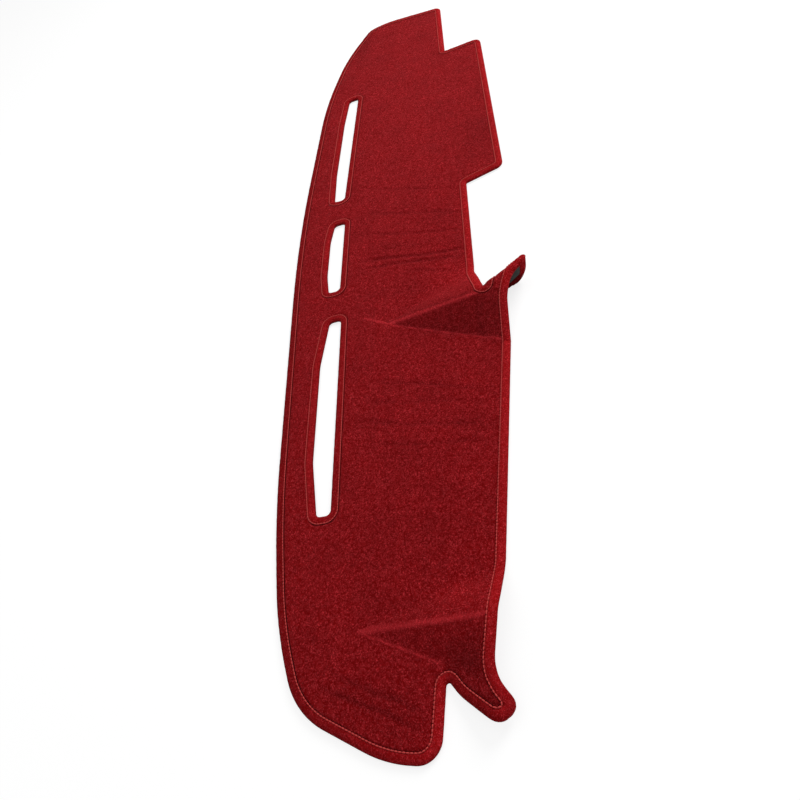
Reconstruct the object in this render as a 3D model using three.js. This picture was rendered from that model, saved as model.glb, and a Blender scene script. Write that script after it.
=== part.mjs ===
// A carpet cover for a car dashboard, lying pile up on a floor.
// Millimetres: x runs along the dashboard to the passenger's end, y towards
// the windscreen and z up. The flat pattern is laid out as (x, y) about the
// middle vent slot, and lay() then lifts its two ridges and bends its tabs.

import * as THREE from 'three';
import { ConvexHull } from 'three/addons/math/ConvexHull.js';

// Overall sizes of the flat pattern
const LENGTH = 1400;
const DRIVER_REACH = 697;          // middle slot to the driver's end
const BACK_EDGE = 70;              // middle slot to the windscreen edge
const PASSENGER_FRONT = -270;      // front edge on the passenger's side
const CUTOUT_EDGE = -216;          // front edge inside the rectangular cutout
const HOOD_FRONT = -253;           // front edge over the instruments, inner end
const HOOD_FRONT_OUTER = -216;     // the same edge at the driver's end
const DRIVER_FRONT = -147;         // front edge at the driver's end corner

// Carpet with its felt bonded on, and the tape that binds its edges
const CARPET_THICKNESS = 5;
const TAPE = 0.8;                  // thickness of the binding tape
const BINDING_WIDTH = 10;
const BINDING_HEIGHT = 5.4;        // over the pinched edge of the carpet
const TAPE_GAP = 0.3;
const EDGE_STEP = 0.9;             // run of the slope from pinched edge to full height

// Vent slots: the side ones fill what the middle one, the bridges and the margins leave
const MIDDLE_SLOT_LENGTH = 152;
const SLOT_BRIDGE = 60.5;          // carpet between the middle slot and a side one
const DRIVER_SLOT_MARGIN = 257.5;  // carpet between a side slot and its end
const PASSENGER_SLOT_MARGIN = 263.5;
const SLOT_WIDTH = 18;
const DRIVER_SLOT_BOW = 10;
const MIDDLE_SLOT_BOW = 5;
const PASSENGER_SLOT_BOW = 4;
const SLOT_CORNER = 6;
const SLOT_BOW_RADIUS = 100;
const DRIVER_SLOT_LINE = -12;
const MIDDLE_SLOT_LINE = -4;
const PASSENGER_SLOT_LINE = -6;
const DRIVER_SLOT_TURN = 0.015;    // radians
const PASSENGER_SLOT_TURN = -0.04; // radians

// Turning points of the ends and the windscreen side: how far each is set back
// from its end and forward of the windscreen edge, and the radius there
const PASSENGER_ELBOW = { setBack: -1, forward: 150, radius: 120 };
const PASSENGER_CORNER = { setBack: 6, forward: 108, radius: 30 };
const PASSENGER_SHOULDER = { setBack: 103, forward: 57, radius: 400 };
const PASSENGER_QUARTER = { setBack: 253, forward: 22, radius: 900 };
const BACK_MIDDLE = { setBack: 643, forward: 0, radius: 3000 };
const DRIVER_QUARTER = { setBack: 277, forward: 20, radius: 1400 };
const DRIVER_SHOULDER = { setBack: 137, forward: 39, radius: 450 };
const DRIVER_CORNER = { setBack: 50, forward: 69, radius: 85 };
const DRIVER_ELBOW = { setBack: 4, forward: 165, radius: 150 };
const FRONT_CORNER_ROUND = 14;
const DRIVER_FRONT_ROUND = 24;

// Cutout, and the notches beside the end corners
const CUTOUT_PASSENGER_SIDE = 87;
const CUTOUT_DRIVER_SIDE = -110;
const CUTOUT_DRIVER_ROUND = 40;
const CUTOUT_SLANT = 17;
const CUTOUT_DEEPER = 5;           // fall of the front edge towards the cutout
const NOTCH_SET_BACK = 20;         // end corner of the notch from the passenger's end
const NOTCH_LENGTH = 183;
const NOTCH_EDGE = -198;
const NOTCH_SKEW = 3;
const NOTCH_ROUND = 3;
const DRIVER_NOTCH = 72;           // root of the outer tab from the driver's end
const DRIVER_NOTCH_DEEPER = 8;     // fall of the front edge towards that root

// Instrument hood: two ridges run from a point near the slots to the front edge. What is
// called inner is measured from the middle slot, and outer from the driver's end.
const INNER_RIDGE_START = [-168, -92];
const INNER_RIDGE_END = [-171, -230];
const INNER_VALLEY_END = [-243, -253];
const INNER_RIDGE_HEIGHT = 23;
const INNER_RIDGE_RUN = 85;        // width of the gentle side at the front
const OUTER_RIDGE_START = [122, -66];
const OUTER_RIDGE_END = [121, -211];
const OUTER_VALLEY_END = [85, -153];
const OUTER_RIDGE_HEIGHT = 22;
const OUTER_RIDGE_RUN = 55;

// Tabs at the two front corners of the hood
const INNER_TAB_TIP = [-144, -291];
const INNER_TAB_HEIGHT = 35;       // crest of the tab above the floor
const INNER_TAB_BEND = 7;          // radius of the bend past the crest
const INNER_TAB_FALL = 1.75;       // radians below level past the bend
const INNER_TAB_ROOT = [-40, 33];  // from its tip, as are the next two
const INNER_TAB_RIM = [-15, 24];
const INNER_TAB_END = [[33, 6], [25, 36]];    // the two corners that hang to the floor
const INNER_TAB_RIM_ROUND = 40;
const OUTER_TAB_TIP = [36, -212];
const OUTER_TAB_LIFT = 14;
const OUTER_TAB_DROOP = 12;        // length of its end that hangs down
const OUTER_TAB_BEND = 9;
const OUTER_TAB_FALL = 1.4;
const OUTER_TAB_END = [[-6.5, 10.5], [6, -10.7]]; // its two end corners, from its tip
const OUTER_TAB_SIDE = [20, 44];   // middle of its notch side, from its tip
const OUTER_TAB_ROOT = [35, 9];    // start of the hood's front edge, from its tip
const HOOD_BEND = 102;             // turn of that edge, from its tip
const HOOD_BEND_ROUND = 100;
const TAB_SIDE_ROUND = 60;
const TAB_ROUND = 12;

// Sampling of the outline and of the sheet between its edges
const EDGE_SPACING = 48;
const ARC_TURN = 0.5;              // radians for each chord of a rounded corner
const SHEET_SPACING = 52;
const RIDGE_SPACING = 24;
const TAB_SPACING = 3.5;
const HOOD_LEAST_SPACING = 7;      // between neighbouring points on the hood
const SLOPE_STEP = 3;              // reach of the measurement of a slope
const ROOM_SHARE = 0.48;           // most of a side that the round of one corner takes

const PASSENGER_END = LENGTH - DRIVER_REACH;
const DRIVER_END = -DRIVER_REACH;
const SLOT_INNER_END = MIDDLE_SLOT_LENGTH / 2 + SLOT_BRIDGE;
const FIELD = BINDING_WIDTH + EDGE_STEP;
const EDGE = TAPE + TAPE_GAP;

const fromDriverEnd = ([x, y]) => [DRIVER_END + x, y];
const outerTip = fromDriverEnd(OUTER_TAB_TIP);
const innerRidge = {
  start: INNER_RIDGE_START,
  end: INNER_RIDGE_END,
  valley: INNER_VALLEY_END,
  height: INNER_RIDGE_HEIGHT,
  run: INNER_RIDGE_RUN,
  lift: 0,
};
const outerRidge = {
  start: fromDriverEnd(OUTER_RIDGE_START),
  end: fromDriverEnd(OUTER_RIDGE_END),
  valley: fromDriverEnd(OUTER_VALLEY_END),
  height: OUTER_RIDGE_HEIGHT,
  run: OUTER_RIDGE_RUN,
  lift: OUTER_TAB_LIFT,
};

const corner = (x, y, radius, spacing = EDGE_SPACING) => ({ x, y, radius, spacing });

// Rounded outlines, with the material on the left of their direction

function endCorner(end, { setBack, forward, radius }) {
  return corner(end - Math.sign(end) * setBack, BACK_EDGE - forward, radius);
}

function cutoutCorners() {
  const frontEnd = CUTOUT_PASSENGER_SIDE + CUTOUT_SLANT;
  return [
    corner(CUTOUT_DRIVER_SIDE, CUTOUT_EDGE, CUTOUT_DRIVER_ROUND, RIDGE_SPACING),
    corner(CUTOUT_PASSENGER_SIDE, CUTOUT_EDGE, NOTCH_ROUND),
    corner(frontEnd, PASSENGER_FRONT - CUTOUT_DEEPER, FRONT_CORNER_ROUND),
  ];
}

function passengerEndCorners() {
  const notchEnd = PASSENGER_END - NOTCH_SET_BACK;
  const notchStart = notchEnd - NOTCH_LENGTH;
  return [
    corner(notchStart + NOTCH_SKEW, PASSENGER_FRONT + NOTCH_SKEW, FRONT_CORNER_ROUND),
    corner(notchStart, NOTCH_EDGE, NOTCH_ROUND),
    corner(notchEnd, NOTCH_EDGE + NOTCH_SKEW, FRONT_CORNER_ROUND),
    endCorner(PASSENGER_END, PASSENGER_ELBOW),
    endCorner(PASSENGER_END, PASSENGER_CORNER),
    endCorner(PASSENGER_END, PASSENGER_SHOULDER),
    endCorner(PASSENGER_END, PASSENGER_QUARTER),
  ];
}

function driverEndCorners() {
  const notchRoot = DRIVER_END + DRIVER_NOTCH;
  return [
    endCorner(PASSENGER_END, BACK_MIDDLE),
    endCorner(DRIVER_END, DRIVER_QUARTER),
    endCorner(DRIVER_END, DRIVER_SHOULDER),
    endCorner(DRIVER_END, DRIVER_CORNER),
    endCorner(DRIVER_END, DRIVER_ELBOW),
    corner(DRIVER_END, DRIVER_FRONT, DRIVER_FRONT_ROUND),
    corner(notchRoot, DRIVER_FRONT - DRIVER_NOTCH_DEEPER, NOTCH_ROUND, TAB_SPACING),
  ];
}

function outerTabCorners() {
  const [x, y] = outerTip;
  const from = ([dx, dy], radius, spacing) => corner(x + dx, y + dy, radius, spacing);
  return [
    from(OUTER_TAB_SIDE, TAB_SIDE_ROUND, TAB_SPACING),
    ...OUTER_TAB_END.map((offset) => from(offset, TAB_ROUND, TAB_SPACING)),
    from(OUTER_TAB_ROOT, TAB_SIDE_ROUND, RIDGE_SPACING),
    corner(x + HOOD_BEND, HOOD_FRONT_OUTER, HOOD_BEND_ROUND),
  ];
}

function innerTabCorners() {
  const [x, y] = INNER_TAB_TIP;
  const from = ([dx, dy], radius) => corner(x + dx, y + dy, radius, TAB_SPACING);
  const [hoodX] = INNER_VALLEY_END;
  const [notchX, notchY] = INNER_RIDGE_END;
  return [
    corner(hoodX, HOOD_FRONT, HOOD_BEND_ROUND, RIDGE_SPACING),
    from(INNER_TAB_ROOT, TAB_SIDE_ROUND),
    from(INNER_TAB_RIM, INNER_TAB_RIM_ROUND),
    corner(x, y, TAB_ROUND, TAB_SPACING),
    ...INNER_TAB_END.map((offset) => from(offset, TAB_ROUND)),
    corner(notchX + NOTCH_SKEW, notchY, NOTCH_ROUND, TAB_SPACING),
  ];
}

function slotCorners(start, end, line, bow, turn) {
  const [place, half, depth] = [(start + end) / 2, (end - start) / 2, SLOT_WIDTH / 2];
  const local = [
    [half, -depth, SLOT_CORNER],
    [-half, -depth, SLOT_CORNER],
    [-half, depth, SLOT_CORNER],
    [-half / 2, depth + bow, SLOT_BOW_RADIUS],
    [half / 2, depth + bow, SLOT_BOW_RADIUS],
    [half, depth, SLOT_CORNER],
  ];
  const [c, s] = [Math.cos(turn), Math.sin(turn)];
  return local.map(([x, y, r]) => corner(place + c * x - s * y, line + s * x + c * y, r));
}

// Points along a closed line of straight runs and rounded corners
function roundedLoop(corners) {
  const arcs = corners.map((here, i) => {
    const before = corners[(i + corners.length - 1) % corners.length];
    const after = corners[(i + 1) % corners.length];
    const into = new THREE.Vector2(here.x - before.x, here.y - before.y);
    const out = new THREE.Vector2(after.x - here.x, after.y - here.y);
    const room = ROOM_SHARE * Math.min(into.length(), out.length());
    into.normalize();
    out.normalize();
    const turn = Math.atan2(into.cross(out), into.dot(out));
    const reach = Math.min(here.radius * Math.tan(Math.abs(turn) / 2), room);
    const radius = reach / Math.tan(Math.abs(turn) / 2);
    const start = new THREE.Vector2(here.x, here.y).addScaledVector(into, -reach);
    const side = Math.sign(turn) * radius;
    const centre = start.clone().add(new THREE.Vector2(-into.y, into.x).multiplyScalar(side));
    const chords = Math.max(Math.abs(turn) / ARC_TURN, (radius * Math.abs(turn)) / here.spacing);
    const count = Math.max(1, Math.ceil(chords));
    const spoke = start.clone().sub(centre);
    return Array.from({ length: count + 1 }, (_, k) => (
      spoke.clone().rotateAround(new THREE.Vector2(), (turn * k) / count).add(centre)
    ));
  });
  const loop = [];
  arcs.forEach((arc, i) => {
    loop.push(...arc);
    const from = arc[arc.length - 1];
    const to = arcs[(i + 1) % arcs.length][0];
    const steps = Math.ceil(from.distanceTo(to) / corners[i].spacing);
    for (let k = 1; k < steps; k += 1) loop.push(from.clone().lerp(to, k / steps));
  });
  return loop;
}

// The same loop moved into the material, which lies on the left of its direction
function inset(loop, distance) {
  return loop.map((here, i) => {
    const before = loop[(i + loop.length - 1) % loop.length];
    const after = loop[(i + 1) % loop.length];
    const into = here.clone().sub(before).normalize();
    const out = after.clone().sub(here).normalize();
    const normal = new THREE.Vector2(-into.y - out.y, into.x + out.x);
    return here.clone().addScaledVector(normal, distance / (1 + into.dot(out)));
  });
}

// How the sheet lies

const mix = THREE.MathUtils.lerp;
const smooth = THREE.MathUtils.smoothstep;
const along = (from, to, y) => (y - from[1]) / (to[1] - from[1]);

// A ridge falls straight to its valley line on one side and gently on the other
function ridgeHeight(x, y, ridge) {
  const share = Math.max(0, along(ridge.start, ridge.end, y));
  const crest = mix(ridge.start[0], ridge.end[0], share);
  const valley = mix(ridge.start[0], ridge.valley[0], along(ridge.start, ridge.valley, y));
  const foot = ridge.lift * smooth(-y, -ridge.valley[1], -ridge.end[1]);
  const peak = ridge.height * share;
  if (share === 0) return 0;
  if (x < crest) return mix(peak, foot, Math.min(1, (crest - x) / (crest - valley)));
  return peak * (1 - smooth(x - crest, 0, ridge.run * share));
}

// A tab that leaves its crest at a rise, bends down and hangs to the floor:
// how far it reaches out and how high it is at a length past the crest
function bentTab(past, height, rise, radius, fall) {
  const bent = Math.min(past, radius * (rise + fall));
  const slope = rise - bent / radius;
  const lowered = height + radius * (Math.cos(slope) - Math.cos(rise));
  const floor = BINDING_HEIGHT * Math.max(0, -Math.cos(fall));
  const hanging = Math.min(past - bent, Math.max(0, lowered - floor) / Math.sin(fall));
  const lying = past - bent - hanging;
  const reach = radius * (Math.sin(rise) - Math.sin(slope)) + hanging * Math.cos(slope);
  return { reach: reach + lying, height: Math.max(0, lowered + hanging * Math.sin(slope)) };
}

function innerTab(x, y) {
  const share = THREE.MathUtils.clamp(along(INNER_RIDGE_END, INNER_TAB_TIP, y), 0, 1);
  const crest = mix(INNER_RIDGE_END[0], INNER_TAB_TIP[0], share);
  const height = mix(INNER_RIDGE_HEIGHT, INNER_TAB_HEIGHT, share);
  const width = crest - INNER_VALLEY_END[0];
  if (x < crest) return new THREE.Vector3(x, y, height * Math.max(0, 1 - (crest - x) / width));
  const rise = Math.atan2(height, width);
  const tab = bentTab(x - crest, height, rise, INNER_TAB_BEND, INNER_TAB_FALL);
  return new THREE.Vector3(crest + tab.reach, y, tab.height);
}

function outerTab(point) {
  const root = new THREE.Vector3(...outerRidge.valley, 0);
  const out = new THREE.Vector3(...outerTip, 0).sub(root);
  const hinge = out.length() - OUTER_TAB_DROOP;
  out.normalize();
  const past = point.clone().sub(root).dot(out) - hinge;
  if (past <= 0) return point;
  const tab = bentTab(past, point.z, 0, OUTER_TAB_BEND, OUTER_TAB_FALL);
  return point.clone().addScaledVector(out, tab.reach - past).setZ(tab.height);
}

// The underside of the sheet at a point of the flat pattern
function lay(x, y) {
  const sheet = new THREE.Vector3(x, y, ridgeHeight(x, y, innerRidge));
  sheet.z += ridgeHeight(x, y, outerRidge);
  if (y < DRIVER_FRONT && x < outerRidge.valley[0]) return outerTab(sheet);
  const onTab = smooth(-y, -CUTOUT_EDGE, -INNER_RIDGE_END[1] + INNER_TAB_BEND);
  if (x > INNER_VALLEY_END[0] && x < CUTOUT_PASSENGER_SIDE) sheet.lerp(innerTab(x, y), onTab);
  return sheet;
}

function surface(x, y, height) {
  const slopeX = lay(x + SLOPE_STEP, y).sub(lay(x - SLOPE_STEP, y));
  const slopeY = lay(x, y + SLOPE_STEP).sub(lay(x, y - SLOPE_STEP));
  return lay(x, y).addScaledVector(slopeX.cross(slopeY).normalize(), height);
}

// Closed meshes

const outline = roundedLoop([
  ...cutoutCorners(),
  ...passengerEndCorners(),
  ...driverEndCorners(),
  ...outerTabCorners(),
  ...innerTabCorners(),
]);
const slots = {
  driver: roundedLoop(slotCorners(DRIVER_END + DRIVER_SLOT_MARGIN, -SLOT_INNER_END,
    DRIVER_SLOT_LINE, DRIVER_SLOT_BOW, DRIVER_SLOT_TURN)),
  middle: roundedLoop(slotCorners(-MIDDLE_SLOT_LENGTH / 2, MIDDLE_SLOT_LENGTH / 2,
    MIDDLE_SLOT_LINE, MIDDLE_SLOT_BOW, 0)),
  passenger: roundedLoop(slotCorners(SLOT_INNER_END, PASSENGER_END - PASSENGER_SLOT_MARGIN,
    PASSENGER_SLOT_LINE, PASSENGER_SLOT_BOW, PASSENGER_SLOT_TURN)),
};
const edges = [outline, ...Object.values(slots)];

function isInside(point, loop) {
  let odd = false;
  loop.forEach((a, i) => {
    const b = loop[(i + 1) % loop.length];
    const crosses = (a.y > point.y) !== (b.y > point.y);
    if (crosses && point.x < a.x + ((point.y - a.y) * (b.x - a.x)) / (b.y - a.y)) odd = !odd;
  });
  return odd;
}

const isOnSheet = (point, loops) => isInside(point, loops[0])
  && !loops.slice(1).some((loop) => isInside(point, loop));

// Rows of points over the sheet, closer together on the ridges and their valleys
function fieldPoints(loops) {
  const candidates = [];
  const line = (from, to, spacing) => {
    const [a, b] = [new THREE.Vector2(...from), new THREE.Vector2(...to)];
    const count = Math.ceil(a.distanceTo(b) / spacing);
    for (let k = 0; k <= count; k += 1) candidates.push(a.clone().lerp(b, k / count));
  };
  [innerRidge, outerRidge].forEach(({ start, end, valley }) => {
    line(start, end, RIDGE_SPACING);
    line(start, valley, RIDGE_SPACING);
  });
  line(INNER_RIDGE_END, INNER_TAB_TIP, TAB_SPACING);
  const rowGap = SHEET_SPACING * Math.sin(Math.PI / 3);
  for (let row = 0, y = BACK_EDGE; y > INNER_TAB_TIP[1]; row += 1, y -= rowGap) {
    const start = DRIVER_END + (row % 2) * (SHEET_SPACING / 2);
    line([start, y], [PASSENGER_END, y], SHEET_SPACING);
  }
  const taken = loops.flat();
  const kept = [];
  candidates.forEach((point) => {
    const onHood = point.x < INNER_RIDGE_END[0] + INNER_RIDGE_RUN;
    const least = onHood ? HOOD_LEAST_SPACING : RIDGE_SPACING;
    const free = [...taken, ...kept].every((other) => other.distanceTo(point) > least);
    if (free && isOnSheet(point, loops)) kept.push(point);
  });
  return kept;
}

// Delaunay triangles: the underside of the points' hull once lifted to a paraboloid.
// Four far guards keep the sheet's own edge off the rim of that hull.
function triangulate(points, loops) {
  const lift = (x, y) => new THREE.Vector3(x, y, x * x + y * y);
  const lifted = points.map(({ x, y }) => lift(x, y));
  const index = new Map(lifted.map((point, i) => [point, i]));
  const far = LENGTH + LENGTH;
  const guards = [lift(-far, -far), lift(far, -far), lift(far, far), lift(-far, far)];
  const hull = new ConvexHull().setFromPoints([...lifted, ...guards]);
  return hull.faces.filter((face) => face.normal.z < 0).map((face) => {
    const ends = [face.edge, face.edge.next, face.edge.prev];
    return ends.map((edge) => index.get(edge.head().point)).reverse();
  }).filter((triangle) => {
    if (triangle.includes(undefined)) return false;
    const centre = new THREE.Vector2();
    triangle.forEach((i) => centre.addScaledVector(points[i], 1 / triangle.length));
    return isOnSheet(centre, loops);
  });
}

function fieldMesh() {
  const loops = edges.map((loop) => inset(loop, FIELD));
  const inner = fieldPoints(loops);
  return { inner, triangles: triangulate([...loops.flat(), ...inner], loops) };
}

// Halves each stretch of an edge that no triangle of the field follows
function splitEdges(triangles) {
  const sides = new Set(triangles.flatMap(([a, b, c]) => [`${a},${b}`, `${b},${c}`, `${c},${a}`]));
  let first = 0;
  return edges.map((loop) => {
    const { length } = loop;
    for (let i = length - 1; i >= 0; i -= 1) {
      const next = (i + 1) % length;
      const middle = loop[i].clone().lerp(loop[(i + 1) % loop.length], 0.5);
      if (!sides.has(`${first + i},${first + next}`)) loop.splice(i + 1, 0, middle);
    }
    first += length;
    return loop.length > length;
  }).includes(true);
}

let field = fieldMesh();
while (splitEdges(field.triangles)) field = fieldMesh();

function closedGeometry(points, triangles) {
  const geometry = new THREE.BufferGeometry().setFromPoints(points);
  geometry.setIndex(triangles.flat());
  geometry.computeVertexNormals();
  return geometry;
}

// Two triangles for each side of the strip between two rows of a section. Their
// shared diagonal always starts at the inner row, so that nested pieces match.
function strips(loops, section, from, to) {
  const triangles = [];
  const count = loops.flat().length;
  const [rowA, rowB] = [from * count, to * count];
  const inwards = section[to][0] > section[from][0];
  let first = 0;
  loops.forEach((loop) => {
    loop.forEach((_, i) => {
      const [a, b] = [first + i, first + ((i + 1) % loop.length)];
      if (inwards) triangles.push([rowA + a, rowB + a, rowA + b], [rowB + a, rowB + b, rowA + b]);
      else triangles.push([rowA + a, rowB + a, rowB + b], [rowA + a, rowB + b, rowA + b]);
    });
    first += loop.length;
  });
  return triangles;
}

// The carpet: rows of [inset, height] from the top of its field, round its
// pinched edge, to the underside of its field
function carpet() {
  const section = [
    [FIELD, CARPET_THICKNESS],
    [BINDING_WIDTH, BINDING_HEIGHT - EDGE],
    [EDGE, BINDING_HEIGHT - EDGE],
    [EDGE, EDGE],
    [BINDING_WIDTH, EDGE],
    [FIELD, 0],
  ];
  const rows = section.map(([distance, height]) => edges.flatMap((loop) => (
    inset(loop, distance).map(({ x, y }) => surface(x, y, height)))));
  const count = rows[0].length;
  const inner = (height) => field.inner.map(({ x, y }) => surface(x, y, height));
  const points = [...rows.flat(), ...inner(CARPET_THICKNESS), ...inner(0)];
  const triangles = [];
  for (let k = 1; k < rows.length; k += 1) {
    triangles.push(...strips(edges, section, k - 1, k));
  }
  const topInner = rows.length * count;
  const onTop = (i) => (i < count ? i : topInner + i - count);
  const baseInner = topInner + field.inner.length;
  const onBase = (i) => (i < count ? topInner - count + i : baseInner + i - count);
  field.triangles.forEach(([a, b, c]) => {
    triangles.push([onTop(a), onTop(b), onTop(c)], [onBase(c), onBase(b), onBase(a)]);
  });
  return closedGeometry(points, triangles);
}

// Tape folded round an edge, stitched through at its two inner edges
function binding(loop) {
  const section = [
    [BINDING_WIDTH, BINDING_HEIGHT],
    [TAPE, BINDING_HEIGHT],
    [0, BINDING_HEIGHT / 2],
    [TAPE / 2, 0],
    [BINDING_WIDTH, 0],
    [BINDING_WIDTH, TAPE],
    [EDGE, TAPE],
    [TAPE, TAPE],
    [TAPE, BINDING_HEIGHT - TAPE],
    [EDGE, BINDING_HEIGHT - TAPE],
    [BINDING_WIDTH, BINDING_HEIGHT - TAPE],
  ];
  const points = section.flatMap(([distance, height]) => (
    inset(loop, distance).map(({ x, y }) => surface(x, y, height))));
  const triangles = section.flatMap((_, k) => (
    strips([loop], section, k, (k + 1) % section.length)));
  return closedGeometry(points, triangles);
}

// Cut velour pile is fully rough, and the tape's shorter pile a little less so
const PILE = new THREE.MeshStandardMaterial({ color: 0x7f181b, roughness: 1, metalness: 0 });
const TAPE_CLOTH = new THREE.MeshStandardMaterial({
  color: 0xb0242a, roughness: 0.9, metalness: 0,
});

function cloth(name, geometry, material) {
  const mesh = new THREE.Mesh(geometry, material.clone());
  mesh.name = name;
  return mesh;
}

const group = new THREE.Group();
group.add(
  cloth('carpet_sheet', carpet(), PILE),
  cloth('edge_binding', binding(outline), TAPE_CLOTH),
);
Object.entries(slots).forEach(([place, loop]) => {
  group.add(cloth(`${place}_slot_binding`, binding(loop), TAPE_CLOTH));
});

// The origin is the middle of the footprint, on the floor
const box = new THREE.Box3().setFromObject(group);
const middle = box.getCenter(new THREE.Vector3());
group.position.set(-middle.x, -middle.y, -box.min.z);

export default group;
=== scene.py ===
"""Looks for a carpet cover of a car dashboard, lying pile up on a white floor.

The flat pattern and the way it lies are given in millimetres from the middle
vent slot: x runs to the passenger's end, y to the windscreen. Meshes are in
metres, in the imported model's frame.
"""

import math

import bpy
import numpy as np
from mathutils import Matrix, Vector
from mathutils.geometry import delaunay_2d_cdt
from mathutils.kdtree import KDTree


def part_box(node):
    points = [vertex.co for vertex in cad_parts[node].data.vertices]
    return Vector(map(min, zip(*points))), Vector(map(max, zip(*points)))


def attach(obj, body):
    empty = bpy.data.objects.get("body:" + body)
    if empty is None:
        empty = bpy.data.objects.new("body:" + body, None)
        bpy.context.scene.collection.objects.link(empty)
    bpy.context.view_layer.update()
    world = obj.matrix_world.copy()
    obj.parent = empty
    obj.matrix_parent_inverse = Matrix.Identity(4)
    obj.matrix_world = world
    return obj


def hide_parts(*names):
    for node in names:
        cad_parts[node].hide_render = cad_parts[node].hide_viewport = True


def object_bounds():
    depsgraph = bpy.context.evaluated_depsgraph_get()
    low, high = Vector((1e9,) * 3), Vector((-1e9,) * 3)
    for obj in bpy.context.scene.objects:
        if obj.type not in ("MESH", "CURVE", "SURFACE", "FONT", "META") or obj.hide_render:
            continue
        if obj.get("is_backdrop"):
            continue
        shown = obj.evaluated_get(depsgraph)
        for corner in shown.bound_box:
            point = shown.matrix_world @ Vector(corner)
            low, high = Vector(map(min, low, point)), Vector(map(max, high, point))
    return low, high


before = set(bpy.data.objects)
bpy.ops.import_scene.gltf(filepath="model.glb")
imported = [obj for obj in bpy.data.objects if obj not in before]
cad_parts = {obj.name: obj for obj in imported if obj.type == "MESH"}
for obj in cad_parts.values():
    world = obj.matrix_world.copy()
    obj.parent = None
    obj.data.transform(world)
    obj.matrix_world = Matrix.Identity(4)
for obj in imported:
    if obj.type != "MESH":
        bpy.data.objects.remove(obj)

bl_info = {
    "name": "Dashboard Cover Mat",
    "version": (1, 0, 0),
    "blender": (4, 5, 0),
    "location": "View3D > Sidebar > Cover Mat",
    "description": "Builds a velour cover mat for a dashboard, and its stage",
    "category": "Object",
}

CAD_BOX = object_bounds()
MM = 0.001

# Outline of the flat pattern: corners as x, y and radius, with the material on
# the left of their direction
CUTOUT = ((-110, -216, 40), (87, -216, 3), (104, -275, 14))
PASSENGER_END = (
    (503, -267, 14), (500, -198, 3), (683, -195, 14), (704, -80, 120), (697, -38, 30),
)
WINDSCREEN_SIDE = (
    (600, 13, 400), (450, 48, 900), (60, 70, 3000), (-420, 50, 1400), (-560, 31, 450),
    (-647, 1, 85),
)
DRIVER_END = ((-693, -95, 150), (-697, -147, 24), (-625, -155, 3))
OUTER_TAB = (
    (-641, -168, 60), (-667.5, -201.5, 12), (-655, -222.7, 12), (-626, -203, 60),
)
HOOD_FRONT = ((-559, -216, 100), (-243, -253, 100))
INNER_TAB = (
    (-184, -258, 60), (-159, -267, 40), (-144, -291, 12), (-111, -285, 12),
    (-119, -255, 12), (-168, -230, 3),
)
OUTLINE = (
    *CUTOUT, *PASSENGER_END, *WINDSCREEN_SIDE, *DRIVER_END, *OUTER_TAB, *HOOD_FRONT,
    *INNER_TAB,
)
CORNER_ROOM = 0.48                 # most of a side that the round of one corner takes
ARC_STEP = 0.35                    # longest step on a round, as a share of its radius

# Vent slots: start, end, centre line, bow of the windscreen side and turn in radians
SLOTS = {
    "driver": (-439.5, -136.5, -12, 10, 0.015),
    "middle": (-76, 76, -4, 5, 0.0),
    "passenger": (136.5, 439.5, -6, 4, -0.04),
}
SLOT_HALF_WIDTH = 9
SLOT_CORNER = 6
SLOT_BOW_RADIUS = 100

# Ridges of the instrument hood: where each starts, its end on the front edge, the
# end of its valley, its height there, the run of its gentle side and the lift of
# its valley
INNER_RIDGE = ((-168, -92), (-171, -230), (-243, -253), 23, 85, 0)
OUTER_RIDGE = ((-575, -66), (-576, -211), (-612, -153), 22, 55, 14)
INNER_TIP = (-144, -291)
INNER_TIP_HEIGHT = 35
INNER_BEND = (7, 1.75)             # radius, and radians below level past the bend
OUTER_TIP = (-661, -212)
OUTER_DROOP = 12                   # length of its end that hangs down
OUTER_BEND = (9, 1.4)
CUTOUT_EDGE = -216
CUTOUT_SIDE = 87
DRIVER_FRONT = -147
TAB_CLEARANCE = 5.4                # room for the tape under the end of a tab

# Carpet and folded tape
CARPET_THICKNESS = 5
TAPE_WIDTH = 10
TAPE_CROWN = 6.2
GROOVE = 0.2                       # carpet starts this far inside the tape
GROOVE_HEIGHT = 3.3                # of the pile side where it starts
ROUNDED_EDGE = ((1.3, 0.5), (2.6, 0.0))   # inside the tape, and how far below the pile
CROWDED = 0.5                      # points of the pile side nearer than this are dropped
PILE_CLEAR = 0.6                   # share of the pile spacing kept clear at the edges
FELT_CLEAR = 0.5
FELT_HEIGHT = 0.25                 # felt side over the sheet's underside
TAPE_SECTION = (
    # inset and height of the folded tape, from its groove over the crown to the floor
    (10.0, 3.2), (9.5, 4.5), (8.5, 5.5), (7.0, 6.05), (5.2, 6.2), (3.4, 6.0), (1.9, 5.4),
    (0.8, 4.5), (0.15, 3.4), (0.0, 2.3), (0.4, 1.2), (1.2, 0.4), (2.6, 0.0), (5.0, 0.0),
    (8.0, 0.0), (10.0, 0.2), (10.2, 1.6),
)
TAPE_UNDER = 1.6                   # the tape is even up to here, and pile above it
TAPE_PILE = 0.35
TAPE_UNEVEN = ((11, 1.0), (5, 0.8))       # size of its unevenness, and share
TAPE_WAVES = 6
TAPE_SEED = 20
TAPE_SHADE = 0.5                   # darkening of the tape's sides near the floor, which
SHADE_FROM = 4.8                   # starts at this height
SHADE_FULL = 2.6                   # and is full at this one
LIT_SIDE = 3                       # how much less of it the sides facing front get
SEAM_INSET = 0.3                   # stitches, from the tape's inner edge
SEAM_HEIGHT = 5.3
THREAD_SIDES = 6
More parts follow.
